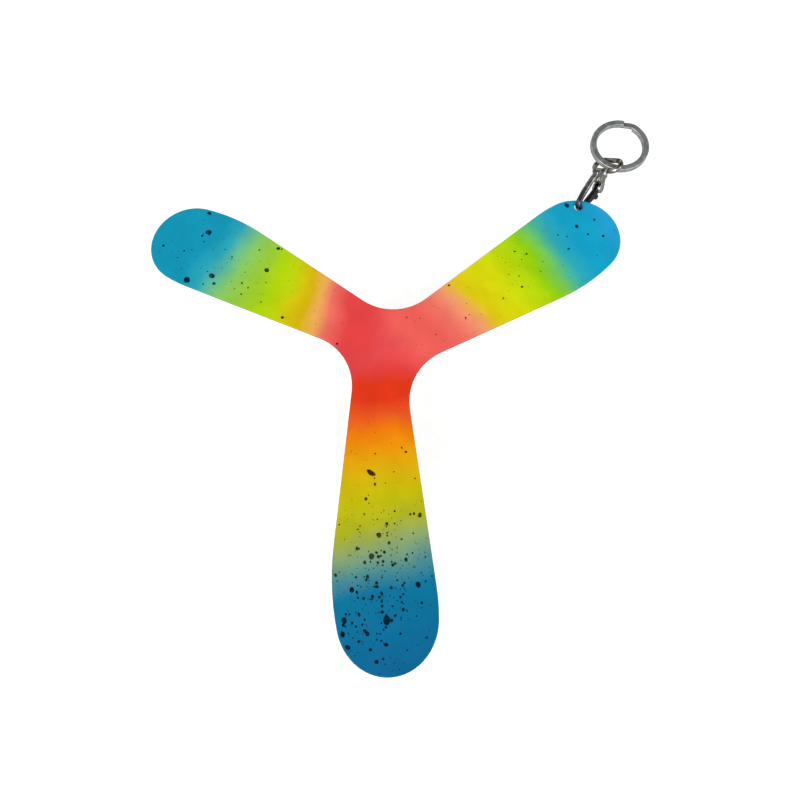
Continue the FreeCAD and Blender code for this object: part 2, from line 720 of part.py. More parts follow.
def make_spring(doc, size):
    """Small compression spring in the block's blind seat, pressing on the gate's flat heel."""
    start = size("rivet_x") + size("tail_flat") + size("spring_wire_radius") + size("spring_gap")
    end = size("slot_back_x") + size("spring_seat_length")
    end -= size("spring_wire_radius") + size("spring_gap")

    coil = doc.addObject("Part::Helix", "spring_coil")
    coil.setExpression("Radius", "Sizes.spring_coil_radius")
    coil.setExpression("Pitch", "Sizes.spring_pitch")
    coil.Height = end - start
    wire = doc.addObject("Part::Circle", "spring_wire")
    wire.setExpression("Radius", "Sizes.spring_wire_radius")
    wire.Placement = Placement(
        Vector(size("spring_coil_radius"), 0, 0), Rotation(Vector(1, 0, 0), 90)
    )
    spring = doc.addObject("Part::Sweep", "gate_spring")
    spring.Label = "gate_spring"
    spring.Sections = [wire]
    spring.Spine = (coil, [])
    spring.Solid = True
    spring.Frenet = True
    seat = Placement(
        Vector(start, size("rivet_y") + size("spring_offset"), 0), Rotation(Vector(0, 1, 0), 90)
    )
    spring.Placement = clasp_placement(size, size("claw_lean")).multiply(seat)
    return spring


# ---------------------------------------------------------------- swivel eye

def draw_post(sketch, size):
    """Draw half of the turned profile: peened head, post, collar and a neck into the eye."""
    head_end = size("opening_end_x") - size("end_play")
    head_start = head_end - size("head_length")
    head = size("head_radius")
    cut = size("head_chamfer")
    post = size("post_radius")
    collar_start = size("boss_end_x") + size("end_play")
    collar_end = collar_start + size("collar_length")
    collar = size("collar_radius")
    neck_end = size("eye_centre_x") - size("eye_half_depth")
    neck = size("neck_radius")
    end_text = "Sizes.opening_end_x - Sizes.end_play"
    start_text = f"{end_text} - Sizes.head_length"
    collar_text = "Sizes.boss_end_x + Sizes.end_play"
    neck_text = "Sizes.eye_centre_x - Sizes.eye_half_depth"
    draw_polygon(
        sketch,
        (
            (head_start, 0),
            (neck_end, 0),
            (neck_end, neck),
            (collar_end, collar),
            (collar_start, collar),
            (collar_start, post),
            (head_end, post),
            (head_end, head),
            (head_start + cut, head),
            (head_start, head - cut),
        ),
        (
            (start_text, ""),
            (neck_text, ""),
            (neck_text, "Sizes.neck_radius"),
            (f"{collar_text} + Sizes.collar_length", "Sizes.collar_radius"),
            (collar_text, "Sizes.collar_radius"),
            (collar_text, "Sizes.post_radius"),
            (end_text, "Sizes.post_radius"),
            (end_text, "Sizes.head_radius"),
            (f"{start_text} + Sizes.head_chamfer", "Sizes.head_radius"),
            (start_text, "Sizes.head_radius - Sizes.head_chamfer"),
        ),
    )


def draw_eye_path(sketch, size):
    """Draw the centre line of the eye: two straight bars joined by half rounds."""
    middle = size("eye_centre_x")
    depth = size("eye_half_depth")
    offset = size("eye_half_width") - depth
    upper = add_arc(sketch, (middle, offset), depth, 0, 180)
    near = add_line(sketch, (middle - depth, offset), (middle - depth, -offset))
    lower = add_arc(sketch, (middle, -offset), depth, 180, 360)
    far = add_line(sketch, (middle + depth, -offset), (middle + depth, offset))
    blend(
        sketch,
        (upper, END, near, START),
        (near, END, lower, START),
        (lower, END, far, START),
        (far, END, upper, START),
    )
    offset_text = "Sizes.eye_half_width - Sizes.eye_half_depth"
    locate(sketch, upper, CENTRE, (middle, offset), ("Sizes.eye_centre_x", offset_text))
    locate(sketch, lower, CENTRE, (middle, -offset), ("Sizes.eye_centre_x", f"-({offset_text})"))
    drive(sketch, "Radius", (upper,), depth, "Sizes.eye_half_depth")
    drive(sketch, "Radius", (lower,), depth, "Sizes.eye_half_depth")


def make_eye(doc, size):
    """Swivel eye: a turned post that runs in the claw's bore, and a round-wire eye on its end."""
    body = make_body(doc, "swivel_eye")
    post_sketch = make_sketch(body, "post_profile")
    draw_post(post_sketch, size)
    post = body.newObject("PartDesign::Revolution", "post")
    post.Profile = post_sketch
    post.ReferenceAxis = (post_sketch, ["H_Axis"])
    post.Angle = 360

    path = make_sketch(body, "eye_path")
    draw_eye_path(path, size)
    section = make_sketch(body, "eye_section", "XZ_Plane")
    position = (size("eye_centre_x") + size("eye_half_depth"), 0)
    circle = add_circle(section, position, size("eye_wire_radius"))
    section.addConstraint(Sketcher.Constraint("PointOnObject", circle, CENTRE, X_AXIS))
    locate(section, circle, CENTRE, position, ("Sizes.eye_centre_x + Sizes.eye_half_depth", ""))
    drive(section, "Radius", (circle,), size("eye_wire_radius"), "Sizes.eye_wire_radius")
    doc.recompute()
    eye = body.newObject("PartDesign::AdditivePipe", "eye")
    eye.Profile = section
    eye.Spine = (path, [f"Edge{i + 1}" for i in range(path.GeometryCount)])
    body.Placement = clasp_placement(size, size("eye_lean"))
    return body


# ---------------------------------------------------------------- key ring

def rounded_rectangle(width, height, corner):
    """Closed wire in the XZ plane, centred on the origin, with round corners."""
    half_width = width / 2 - corner
    half_height = height / 2 - corner
    edges = []
    quarters = ((1, 1, 0), (-1, 1, 90), (-1, -1, 180), (1, -1, 270))
    points = []
    for across, up, angle in quarters:
        middle = Vector(across * half_width, 0, up * half_height)
        arc = [
            middle + Vector(math.cos(math.radians(a)), 0, math.sin(math.radians(a))) * corner
            for a in (angle, angle + 45, angle + 90)
        ]
        points.append(arc)
    for i, arc in enumerate(points):
        edges.append(Part.Arc(*arc).toShape())
        edges.append(Part.LineSegment(arc[2], points[(i + 1) % 4][0]).toShape())
    return Part.Wire(edges)


def coil_height(turned, jog, step):
    """Height of the coil's centre line after it has turned so many degrees from its lower end.

    The wire lies flat for one turn less the jog, climbs by one step along the jog, and lies flat
    again. The climb eases in and out.
    """
    share = (turned - (360 - jog)) / jog
    share = min(max(share, 0), 1)
    return step * (share * share * (3 - 2 * share) - 0.5)


def make_ring(doc, size):
    """Split ring of two flat turns of wire, whose two free ends face each other across the jog."""
    middle_radius = size("ring_outer_radius") - size("ring_band") / 2
    jog = size("ring_jog_angle")
    step = size("ring_layer") + size("ring_layer_gap")
    total = 2 * (360 - jog) + jog
    jog_direction = size("ring_jog_heading") - size("ring_heading")
    first = jog_direction - jog / 2
    stride = 6
    count = round(total / stride)

    points = []
    for i in range(count + 1):
        turned = total * i / count
        angle = math.radians(first - turned)
        height = coil_height(turned, jog, step)
        points.append(Vector(middle_radius * math.cos(angle), middle_radius * math.sin(angle), height))
    centre_line = Part.BSplineCurve()
    centre_line.interpolate(points)
    spine = Part.Wire(centre_line.toShape())

    section = rounded_rectangle(size("ring_band"), size("ring_layer"), size("ring_corner"))
    section.Placement = Placement(points[0], Rotation(first, 0, 0))
    sweep = Part.BRepOffsetAPI.MakePipeShell(spine)
    sweep.setBiNormalMode(Vector(0, 0, 1))
    sweep.add(section, False, False)
    sweep.build()
    sweep.makeSolid()

    ring = doc.addObject("Part::Feature", "key_ring")
    ring.Label = "key_ring"
    ring.Shape = sweep.shape()
    ring.Placement = ring_placement(size)
    return ring


def ring_placement(size):
    """The ring's near side passes through the middle of the swivel eye."""
    eye = clasp_placement(size, size("eye_lean")).multVec(Vector(size("eye_centre_x"), 0, 0))
    turn = Rotation(size("ring_heading"), -size("ring_rise"), 0)
    middle_radius = size("ring_outer_radius") - size("ring_band") / 2
    return Placement(eye + turn.multVec(Vector(middle_radius, 0, 0)), turn)


# ---------------------------------------------------------------- build, check and export

def check_document(doc, parts):
    """Stop if any object failed to recompute or any sub-part isn't a valid solid."""
    for thing in doc.Objects:
        if {"Invalid", "Error"} & set(thing.State):
            raise RuntimeError(f"{thing.Name} failed: {thing.State}")
    for part in parts:
        shape = part.Shape
        if shape.isNull() or not shape.isValid() or len(shape.Solids) != 1:
            raise RuntimeError(f"{part.Label} isn't one valid solid")


def main():
    doc = FreeCAD.newDocument("boomerang")
    size = reader(make_sizes(doc))
    makers = (make_blade, make_claw, make_gate, make_rivet, make_spring, make_eye, make_ring)
    parts = [make(doc, size) for make in makers]
    doc.recompute()
    check_document(doc, parts)
    os.makedirs("parts", exist_ok=True)
    for part in parts:
        part.Shape.exportStep(f"parts/{part.Label}.step")


main()
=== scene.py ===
"""Looks of the pocket boomerang: airbrushed blade, paint spatter, chromed clasp and worn split ring.

Lengths named in millimetres are turned into the frame's metres by MM. The blade's arms are
described by their heading from the hub, with "along" running outwards and "across" to the left.
"""
import itertools
import json
import math
import random

import bmesh
import bpy
from mathutils import Matrix, Vector


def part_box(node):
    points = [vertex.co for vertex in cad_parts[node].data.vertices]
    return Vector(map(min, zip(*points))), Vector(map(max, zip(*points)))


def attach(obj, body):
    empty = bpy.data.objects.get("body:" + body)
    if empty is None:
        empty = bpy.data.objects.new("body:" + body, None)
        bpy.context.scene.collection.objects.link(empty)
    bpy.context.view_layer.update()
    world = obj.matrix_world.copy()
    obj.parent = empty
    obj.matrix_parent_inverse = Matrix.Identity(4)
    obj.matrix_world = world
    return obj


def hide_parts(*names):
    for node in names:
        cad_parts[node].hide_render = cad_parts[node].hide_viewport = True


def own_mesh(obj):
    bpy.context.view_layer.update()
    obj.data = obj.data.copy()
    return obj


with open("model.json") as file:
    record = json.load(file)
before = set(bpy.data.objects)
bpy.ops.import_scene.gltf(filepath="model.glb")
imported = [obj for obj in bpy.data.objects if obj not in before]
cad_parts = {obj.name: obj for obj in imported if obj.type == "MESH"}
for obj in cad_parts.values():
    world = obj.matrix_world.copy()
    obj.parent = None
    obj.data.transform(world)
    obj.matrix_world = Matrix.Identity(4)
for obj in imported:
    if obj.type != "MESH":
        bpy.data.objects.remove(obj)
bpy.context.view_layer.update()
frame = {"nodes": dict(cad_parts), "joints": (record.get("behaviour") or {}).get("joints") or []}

MM = 0.001

# How strongly the studio lights a level surface. Above 1, so that the pale floor turns white.
EXPOSURE = 1.3

# How strongly paint mirrors the room, where 0.5 is bare gloss plastic.
SHEEN = 0.05

# Headings of the arms' centre lines in degrees, counter-clockwise from +X.
CLASP_ARM, LEFT_ARM, BOTTOM_ARM = 30, 150, 270

# Airbrush colours as 8-bit display values.
PALETTE = {
    "coral": (229, 76, 79),
    "rose": (235, 94, 86),
    "brick": (224, 66, 66),
    "scarlet": (222, 54, 20),
    "flame": (231, 86, 30),
    "shrimp": (234, 110, 96),
    "peach": (240, 141, 108),
    "apricot": (232, 168, 84),
    "orange": (234, 118, 4),
    "amber": (232, 142, 2),
    "gold": (226, 162, 2),
    "ochre": (212, 176, 3),
    "mustard": (222, 194, 16),
    "straw": (206, 194, 6),
    "yellow": (215, 208, 4),
    "lemon": (206, 215, 2),
    "olive": (192, 186, 3),
    "khaki": (172, 178, 28),
    "lime": (186, 206, 4),
    "spring": (170, 209, 3),
    "leaf": (152, 200, 48),
    "moss": (134, 198, 92),
    "grass": (138, 204, 10),
    "fern": (120, 198, 72),
    "sage": (132, 161, 112),
    "jade": (106, 187, 136),
    "mint": (80, 184, 132),
    "teal": (76, 140, 142),
    "turquoise": (42, 164, 180),
    "lagoon": (12, 146, 178),
    "azure": (13, 157, 195),
    "sky": (36, 155, 209),
    "ocean": (3, 116, 155),
    "deep": (5, 100, 148),
}

# Bands of each arm: distance from the hub in millimetres and the colour reached there.
BANDS = {
    CLASP_ARM: (
        (0, "coral"), (8, "rose"), (16, "rose"), (20, "shrimp"), (24, "peach"), (28, "apricot"),
        (31, "mustard"), (36, "yellow"), (42, "lemon"), (50, "spring"), (54, "grass"), (57, "fern"),
        (60, "mint"), (64, "turquoise"), (70, "azure"), (76, "azure"), (84, "sky"),
    ),
    LEFT_ARM: (
        (0, "coral"), (6, "brick"), (14, "brick"), (20, "shrimp"), (24, "apricot"), (28, "ochre"),
        (32, "straw"), (36, "lime"), (41, "spring"), (46, "leaf"), (52, "moss"), (56, "jade"),
        (61, "turquoise"), (67, "lagoon"), (84, "lagoon"),
    ),
    BOTTOM_ARM: (
        (0, "coral"), (6, "brick"), (11, "scarlet"), (15, "scarlet"), (20, "flame"), (24, "orange"),
        (28, "amber"), (32, "gold"), (36, "ochre"), (43, "olive"), (49, "khaki"), (55, "sage"),
        (60, "teal"), (65, "ocean"), (84, "deep"),
    ),
}

# Length of an arm's colour ramp in millimetres, a little past the tip.
BAND_LENGTH = 90

# How far a band leans outwards for each millimetre across the arm, near the hub and at the tip,
# and the stretch of the arm in millimetres over which the one turns into the other.
BAND_LEAN = {CLASP_ARM: (0.25, -0.05), LEFT_ARM: (0.3, -0.03), BOTTOM_ARM: (0.0, 0.25)}
LEAN_STRETCH = (20, 60)

# How far the bands wander in millimetres, in slow clouds and in the airbrush's fine mist.
CLOUD_WANDER, MIST_WANDER = 6, 2.5

# A point shows one arm's paint alone where it lies this many millimetres farther out along that
# arm than along the others. Nearer to the hub's middle the arms' paints blend.
HUB_JOIN = 8.0

# Dark spatter paint, and the bare sheet's two shades, as 8-bit display values.
INK = (8, 26, 28)
BARE_SHEET = ((206, 208, 203), (222, 223, 218))

# Large drops of dark paint: along, across, length and width in millimetres, and the turn of the
# long side from the arm's heading in degrees.
LARGE_DROPS = {
    CLASP_ARM: (
        (75, 11, 1.8, 1.4, 80), (73, 3, 1.4, 1.1, 60), (78, -4, 1.1, 0.9, 40), (66, -2, 0.9, 0.8, 0),
        (46, -5, 0.9, 0.7, 0), (51, 6, 0.7, 0.6, 0), (27, 7, 0.8, 0.7, 0),
    ),
    LEFT_ARM: (
        (69, -6, 2.1, 1.6, 30), (73, -12, 1.4, 1.1, 20), (65, 11, 2.2, 1.9, 0), (59, 6, 1.9, 1.7, 0),
        (57, 8, 1.2, 1.0, 0), (45, -4, 1.6, 1.4, 0), (46, -12, 1.3, 1.0, 20), (79, 5, 1.0, 0.9, 0),
        (70, -4, 1.0, 0.8, 70), (32, 7, 1.0, 0.9, 30), (13, 6, 0.8, 0.7, 0),
    ),
    BOTTOM_ARM: (
        (36, -4, 2.8, 1.3, 55), (39, -3, 0.9, 0.7, 0), (47, 9, 1.3, 1.0, 0), (52, -2, 1.4, 1.2, 20),
        (57, -4, 1.6, 1.4, 0), (58, 5, 1.1, 0.9, 0), (64, 8, 1.5, 1.3, 0), (65, -9, 1.4, 1.2, 0),
        (62, -5, 1.1, 0.9, 0), (72, 0, 2.2, 1.9, 0), (75, -5, 1.2, 1.0, 0), (72, -11, 1.5, 1.3, 20),
        (75, -12, 1.4, 1.2, 0), (78, -11, 1.5, 1.0, 60),
    ),
}

# Bursts of small drops: arm, how many, middle and spread along and across the arm, and the size
# of the largest in millimetres.
BURSTS = (
    (CLASP_ARM, 34, 55, 20, 0, 6, 0.8),
    (LEFT_ARM, 60, 62, 14, 0, 7, 0.8),
    (BOTTOM_ARM, 160, 62, 13, 1, 7, 0.95),
    (BOTTOM_ARM, 48, 62, 4, -4, 5, 1.0),
    (BOTTOM_ARM, 40, 74, 4, -7, 4, 1.1),
)
SMALLEST_DROP = 0.26

# Heights of the drops, and the room that each keeps to the sheet's rim and hole, in millimetres.
LARGE_DROP_HEIGHT, SMALL_DROP_HEIGHT, DROP_MARGIN = 0.09, 0.05, 0.1

# No small drop lies nearer to the hub than this, in millimetres.
CLEAR_HUB = 10

# A drop's domed side from its buried foot to its flat top, as shares of its half size and height.
DROP_PROFILE = ((1.0, -0.25), (1.0, 0.05), (0.93, 0.45), (0.75, 0.8), (0.4, 1.0))

# Finish of each metal: display colours where bright and dark, roughness where smoothest and
# dullest, depth of the brushed lines in millimetres, and share of bright rubbed edge.
METALS = {
    "worn_chrome": ((222, 222, 220), (140, 140, 140), (0.08, 0.20), 0.002, 0.3),
    "yellowed_chrome": ((206, 202, 186), (88, 84, 72), (0.12, 0.26), 0.003, 0.2),
    "dark_gate_steel": ((72, 72, 76), (48, 48, 52), (0.14, 0.26), 0.003, 0.4),
    "drawn_spring_wire": ((150, 148, 144), (110, 108, 104), (0.2, 0.35), 0.003, 0.2),
    "rubbed_nickel": ((200, 205, 203), (164, 168, 166), (0.38, 0.52), 0.004, 0.3),
}

# Display colours of worn metal: its pits, its rubbed edges, and what shows where plating is gone.
PIT, RUBBED, UNPLATED = (48, 46, 44), (232, 232, 228), (62, 66, 76)

# Distances in millimetres from a bare spot at which the plating starts and is whole.
BARE_REACH = (3.8, 7.0)

# The camera's turns in degrees about z, x and z, its place from the hub in millimetres along its
# own turned axes, its lens in millimetres, and the lens's shift as a share of the sensor's width.
CAMERA_TURNS = (2.77, 25.81, -3.59)
CAMERA_PLACE = (-0.07, 29.34, 211.12)
LENS = 31.8
LENS_SHIFT = (0.019, -0.1875)

# The floor's half width in metres, its two greys, and the grey that reflections see instead.
FLOOR_HALF = 6.0
FLOOR_GREYS, FLOOR_REFLECTED = (0.93, 0.95), 0.3

# The dark screen in the sky: azimuth and elevation of its middle in degrees, the cosines of the
# angles from there at which it starts to darken and is darkest, and its darkest level, where the
# open sky is 1.
SCREEN_MIDDLE = (90, 62)
SCREEN_FADE = (0.62, 0.88)
SCREEN_LEVEL = 0.08

# Sockets of a Mix node that blends two colours.
MIX_SHARE, MIX_FIRST, MIX_SECOND, MIX_RESULT = 0, 6, 7, 2


# ---------------------------------------------------------------- helpers

def find_joint(name):
    """The frame's entry for one joint."""
    return next(joint for joint in frame["joints"] if joint["name"] == name)


def linear(rgb, gain=1.0):
    """Turn 8-bit display values into the linear colour a shader needs, times a gain."""
    channels = [c / 255 for c in rgb]
    curve = [c / 12.92 if c <= 0.04045 else ((c + 0.055) / 1.055) ** 2.4 for c in channels]
    return (*(c * gain for c in curve), 1.0)


def grey(level):
    """Opaque linear grey."""
    return (level, level, level, 1)


def arm_axes(heading):
    """Unit vectors along and across an arm."""
    angle = math.radians(heading)
    return Vector((math.cos(angle), math.sin(angle), 0)), Vector((-math.sin(angle), math.cos(angle), 0))


# ---------------------------------------------------------------- shader building

class Shader:
    """One material's node tree, built up from small steps. Places and scales are in millimetres."""

    def __init__(self, name):
        self.material = bpy.data.materials.new(name)
        self.material.use_nodes = True
        self.tree = self.material.node_tree
        self.surface = self.tree.nodes["Principled BSDF"].inputs
        place = self.node("ShaderNodeTexCoord").outputs["Object"]
        self.place = self.vector("SCALE", place, scale=1 / MM)

    @classmethod
    def of_tree(cls, tree):
        """The same steps for a node tree that isn't a material's, such as the world's."""
        shader = cls.__new__(cls)
        shader.tree = tree
        return shader

    def node(self, kind):
        """Add one node to the tree."""
        return self.tree.nodes.new(kind)

    def feed(self, socket, value):
        """Link another node's output to a socket, or store a plain value in it."""
        if isinstance(value, bpy.types.NodeSocket):
            self.tree.links.new(value, socket)
        else:
            socket.default_value = value

    def set(self, **inputs):
        """Feed the surface's inputs, with _ standing for a space in their names."""
        for name, value in inputs.items():
            self.feed(self.surface[name.replace("_", " ")], value)

    def math(self, operation, *values):
        """Arithmetic on single values."""
        node = self.node("ShaderNodeMath")
        node.operation = operation
        for socket, value in zip(node.inputs, values):
            self.feed(socket, value)
        return node.outputs[0]

    def vector(self, operation, *values, scale=None):
        """Arithmetic on vectors or colours."""
        node = self.node("ShaderNodeVectorMath")
        node.operation = operation
        for socket, value in zip(node.inputs, values):
            self.feed(socket, value)
        if scale is not None:
            self.feed(node.inputs["Scale"], scale)
        gives_number = operation in ("DOT_PRODUCT", "DISTANCE")
        return node.outputs["Value" if gives_number else "Vector"]

    def ease(self, value, low, high, out_low=0.0, out_high=1.0):
        """Carry a value smoothly from one range to another, and hold it beyond the range."""
        node = self.node("ShaderNodeMapRange")
        node.interpolation_type = "SMOOTHSTEP"
        for socket, item in zip(node.inputs, (value, low, high, out_low, out_high)):
            self.feed(socket, item)
        return node.outputs[0]

    def noise(self, size, detail=2.0, place=None):
        """Noise from 0 to 1 whose lumps are about size millimetres across."""
        node = self.node("ShaderNodeTexNoise")
        self.feed(node.inputs["Vector"], place or self.place)
        self.feed(node.inputs["Scale"], 1 / size)
        self.feed(node.inputs["Detail"], detail)
        return node.outputs[0]

    def specks(self, size, share, largest=0.32):
        """Round specks in irregular cells about size millimetres wide.

        share is the share of cells that hold one, and largest its greatest radius in cell widths.
        """
        node = self.node("ShaderNodeTexVoronoi")
        self.feed(node.inputs["Vector"], self.place)
        self.feed(node.inputs["Scale"], 1 / size)
        split = self.node("ShaderNodeSeparateColor")
        self.feed(split.inputs[0], node.outputs["Color"])
        radius = self.math("MULTIPLY", split.outputs[1], largest)
        kept = self.math("LESS_THAN", split.outputs[0], share)
        inside = self.ease(self.math("SUBTRACT", radius, node.outputs["Distance"]), 0.0, 0.06)
        return self.math("MULTIPLY", inside, kept)

    def mix(self, share, first, second):
        """Blend two colours; a share of 0 gives the first and 1 the second."""
        node = self.node("ShaderNodeMix")
        node.data_type = "RGBA"
        for index, value in ((MIX_SHARE, share), (MIX_FIRST, first), (MIX_SECOND, second)):
            self.feed(node.inputs[index], value)
        return node.outputs[MIX_RESULT]

    def ramp(self, value, stops):
        """Colour ramp through (position from 0 to 1, colour) stops."""
        node = self.node("ShaderNodeValToRGB")
        self.feed(node.inputs[0], value)
        elements = node.color_ramp.elements
        while len(elements) < len(stops):
            elements.new(0.5)
        for element, (position, colour) in zip(elements, stops):
            element.position = position
            element.color = colour
        return node.outputs[0]

    def stretched(self, across, along):
        """Places squeezed so that noise turns into streaks along Y of this width and length."""
        return self.vector("MULTIPLY", self.place, (1 / across, 1 / along, 1 / across))

    def edges(self, radius):
        """1 where the surface bends within radius millimetres, and 0 on flat or gently curved parts."""
        bevel = self.node("ShaderNodeBevel")
        bevel.samples = 4
        self.feed(bevel.inputs["Radius"], radius * MM)
        normal = self.node("ShaderNodeNewGeometry").outputs["Normal"]
        likeness = self.vector("DOT_PRODUCT", bevel.outputs[0], normal)
        return self.ease(likeness, 0.995, 0.90)

    def bump(self, height, depth):
        """Bump the surface by a height from 0 to 1 that stands for depth millimetres."""
        node = self.node("ShaderNodeBump")
        self.feed(node.inputs["Height"], height)
        self.feed(node.inputs["Distance"], depth * MM)
        self.feed(self.surface["Normal"], node.outputs[0])


# ---------------------------------------------------------------- blade paint

def band_colour(shader, heading, wobble):
    """Airbrushed bands along one arm, and how far along that arm each point lies."""
    along_axis, across_axis = arm_axes(heading)
    along = shader.vector("DOT_PRODUCT", shader.place, along_axis)
    across = shader.vector("DOT_PRODUCT", shader.place, across_axis)
    lean = shader.ease(along, *LEAN_STRETCH, *BAND_LEAN[heading])
    slanted = shader.math("ADD", along, shader.math("MULTIPLY", across, lean))
    shifted = shader.math("ADD", slanted, wobble)
    position = shader.math("DIVIDE", shifted, BAND_LENGTH)
    stops = [(mm / BAND_LENGTH, linear(PALETTE[name], 1 / EXPOSURE)) for mm, name in BANDS[heading]]
    return shader.ramp(position, stops), along


def arm_share(shader, along, others):
    """1 on one arm and 0 on the others, with a soft join of a few millimetres at the hub."""
    rest = others[0]
    for other in others[1:]:
        rest = shader.math("MAXIMUM", rest, other)
    return shader.ease(shader.math("SUBTRACT", along, rest), -HUB_JOIN, HUB_JOIN)


def top_paint(shader):
    """The three arms' bands, joined at the hub, and how far out each point is on the bottom arm."""
    cloud = shader.math("SUBTRACT", shader.noise(12, 2), 0.5)
    mist = shader.math("SUBTRACT", shader.noise(0.35, 1), 0.5)
    wobble = shader.math(
        "ADD", shader.math("MULTIPLY", cloud, CLOUD_WANDER), shader.math("MULTIPLY", mist, MIST_WANDER)
    )
    clasp, clasp_along = band_colour(shader, CLASP_ARM, wobble)
    left, left_along = band_colour(shader, LEFT_ARM, wobble)
    bottom, bottom_along = band_colour(shader, BOTTOM_ARM, wobble)
    upper = shader.mix(arm_share(shader, left_along, (clasp_along,)), clasp, left)
    share = arm_share(shader, bottom_along, (left_along, clasp_along))
    return shader.mix(share, upper, bottom), bottom_along


def drifted(shader, colour):
    """Slow light and dark drift in the paint, as a hand-held airbrush leaves it."""
    drift = shader.ease(shader.noise(7, 3), 0.25, 0.75, 0.94, 1.05)
    return shader.vector("SCALE", colour, scale=drift)


def oversprayed(shader, colour, bottom_along, ink):
    """Fine specks of ink, thickest on the outer half of the bottom arm."""
    density = shader.ease(bottom_along, 30, 62, 0.05, 0.30)
    fine = shader.specks(0.55, density)
    return shader.mix(shader.math("MULTIPLY", fine, 0.7), colour, ink)


def bare_underside(shader, ink):
    """Bare grey-white sheet with a few faint specks."""
    shades = [linear(shade, 1 / EXPOSURE) for shade in BARE_SHEET]
    bare = shader.mix(shader.ease(shader.noise(9, 4), 0.35, 0.65), *shades)
    return shader.mix(shader.math("MULTIPLY", shader.specks(1.3, 0.25, 0.2), 0.35), bare, ink)


def wrapped_over_rim(shader, colour, bare):
    """Paint on top, the same paint darkened and made grainy where the surface turns to face sideways on
    the cut rim, and bare sheet underneath.
    """
    normal = shader.node("ShaderNodeNewGeometry").outputs["Normal"]
    up = shader.vector("DOT_PRODUCT", normal, (0, 0, 1))
    grain = shader.ease(shader.noise(0.5, 2), 0.3, 0.7, 0.55, 0.8)
    # The rim's paint colour is multiplied down by a grainy factor, by surface facing alone.
    edge = shader.vector("SCALE", colour, scale=grain)
    painted = shader.mix(shader.ease(up, 0.2, 0.95), edge, colour)
    return shader.mix(shader.ease(up, -0.9, -0.3), bare, painted)


def give_satin_finish(shader):
    """A faint orange-peel skin, with dull patches and a few hair scratches."""
    peel = shader.noise(0.9, 2)
    scratches = shader.ease(shader.noise(1.0, 3, shader.stretched(0.25, 9.0)), 0.66, 0.72)
    dull = shader.ease(shader.noise(5, 3), 0.3, 0.7, 0.34, 0.46)
    shader.set(Roughness=shader.math("ADD", dull, shader.math("MULTIPLY", scratches, 0.12)))
    shader.set(Specular_IOR_Level=SHEEN)
    height = shader.math("SUBTRACT", peel, shader.math("MULTIPLY", scratches, 0.4))
    shader.bump(height, 0.012)


def make_blade_paint():
    """Satin airbrush over pale sheet, with fine dark mist, wrapped over the rim."""
    shader = Shader("airbrushed_sheet")
    ink = linear(INK, 1 / EXPOSURE)
    colour, bottom_along = top_paint(shader)
    colour = oversprayed(shader, drifted(shader, colour), bottom_along, ink)
    shader.set(Base_Color=wrapped_over_rim(shader, colour, bare_underside(shader, ink)))
    give_satin_finish(shader)
    return shader.material


# ---------------------------------------------------------------- paint spatter

def on_sheet(blade, centre, radius):
    """True if a drop of this radius lies wholly on the blade's flat top, clear of hole and rim."""
    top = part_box("blade")[1].z
    for heading in range(0, 360, 45):
        outwards, _ = arm_axes(heading)
        edge = centre + outwards * (radius + DROP_MARGIN * MM)
        hit, point, _, _ = blade.ray_cast(Vector((edge.x, edge.y, top + MM)), Vector((0, 0, -1)))
        if not hit or point.z < top - 1e-6:
            return False
    return True


def add_drop(mesh, centre, length, width, heading, height, chance):
    """Add one closed, domed drop of paint with a wavy outline, standing on the blade's top."""
    corners = 20 if length > 1.2 * MM else 10
    waves = [(k, chance.uniform(0, math.tau), chance.uniform(0.02, 0.16) / k) for k in (1, 2, 3, 5)]
    turn = Matrix.Rotation(heading, 3, "Z")
    rings = []
    for reach, rise in DROP_PROFILE:
        ring = []
        for i in range(corners):
            angle = math.tau * i / corners
            swell = reach * (1 + sum(a * math.cos(k * angle + p) for k, p, a in waves))
            offset = Vector((length * math.cos(angle), width * math.sin(angle), 0)) * swell / 2
            ring.append(mesh.verts.new(centre + turn @ offset + Vector((0, 0, rise * height))))
        rings.append(ring)
    for lower, upper in zip(rings, rings[1:]):
        for i in range(corners):
            j = (i + 1) % corners
            mesh.faces.new((lower[i], lower[j], upper[j], upper[i]))
    mesh.faces.new(rings[-1])
    mesh.faces.new(list(reversed(rings[0])))


def drop_centre(heading, along, across):
    """Place on the blade's top, from millimetres along and across an arm."""
    along_axis, across_axis = arm_axes(heading)
    centre = (along_axis * along + across_axis * across) * MM
    centre.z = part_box("blade")[1].z
    return centre


def add_large_drops(mesh, blade, chance):
    """The drops that are placed one by one. One that would hang over the rim is drawn inwards."""
    for heading, drops in LARGE_DROPS.items():
        for along, across, length, width, lean in drops:
            centre = drop_centre(heading, along, across)
            while not on_sheet(blade, centre, length * MM / 2):
                across *= 0.98
                centre = drop_centre(heading, along, across)
            turn = math.radians(heading + lean)
            add_drop(mesh, centre, length * MM, width * MM, turn, LARGE_DROP_HEIGHT * MM, chance)


def add_burst(mesh, blade, chance, burst):
    """One burst of small drops, most of them near its middle and near the smallest size."""
    heading, count, along, along_spread, across, across_spread, largest = burst
    placed = 0
    while placed < count:
        reach = chance.gauss(along, along_spread)
        centre = drop_centre(heading, reach, chance.gauss(across, across_spread))
        size = (SMALLEST_DROP + (largest - SMALLEST_DROP) * chance.random() ** 3) * MM
        if reach > CLEAR_HUB and on_sheet(blade, centre, size / 2):
            width = size * chance.uniform(0.75, 1.0)
            turn = chance.uniform(0, math.pi)
            add_drop(mesh, centre, size, width, turn, SMALL_DROP_HEIGHT * MM, chance)
            placed += 1


